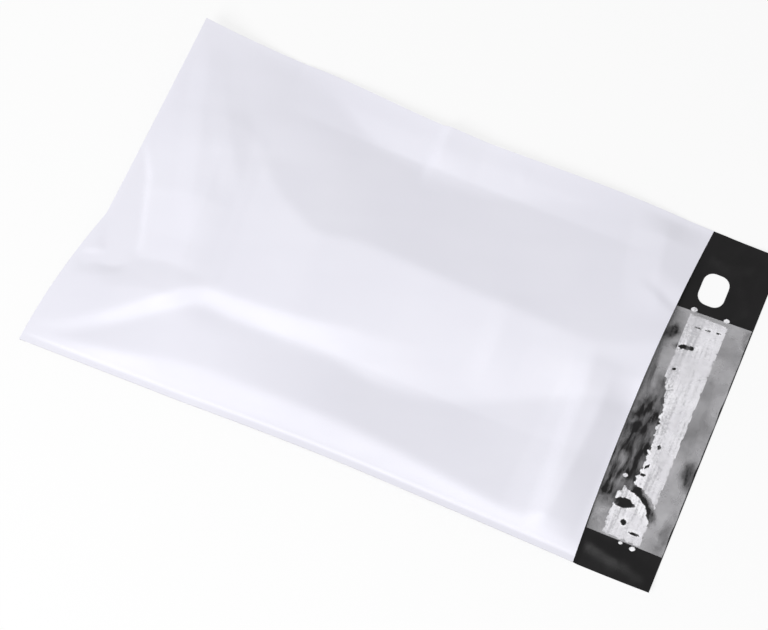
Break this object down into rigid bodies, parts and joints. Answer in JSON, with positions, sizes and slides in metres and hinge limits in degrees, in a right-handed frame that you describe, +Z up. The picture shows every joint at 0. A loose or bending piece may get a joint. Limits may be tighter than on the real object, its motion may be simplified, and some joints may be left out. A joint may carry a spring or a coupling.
{
  "type": "poly mailer bag",
  "caption": "Flat postal bag of white plastic film with a black inside, an open flap with an adhesive strip under a release liner, and a hang hole",
  "frame": {"origin": "on the table, under the middle of the bag's bounding box", "axes": "+X from the bottom fold to the flap, +Y across the bag towards the hang hole, +Z up from the table"},
  "size_m": [0.34, 0.203, 0.0092],
  "materials": {
    "mailer_film": "glossy film, bright white outside and black inside and on the flap",
    "adhesive": "crackled whitish pressure-sensitive coat",
    "liner_film": "thin grey translucent release film"
  },
  "bodies": {
    "root": {"bag_film": "mailer_film", "adhesive_strip": "adhesive", "release_liner": "liner_film"}
  },
  "joints": []
}
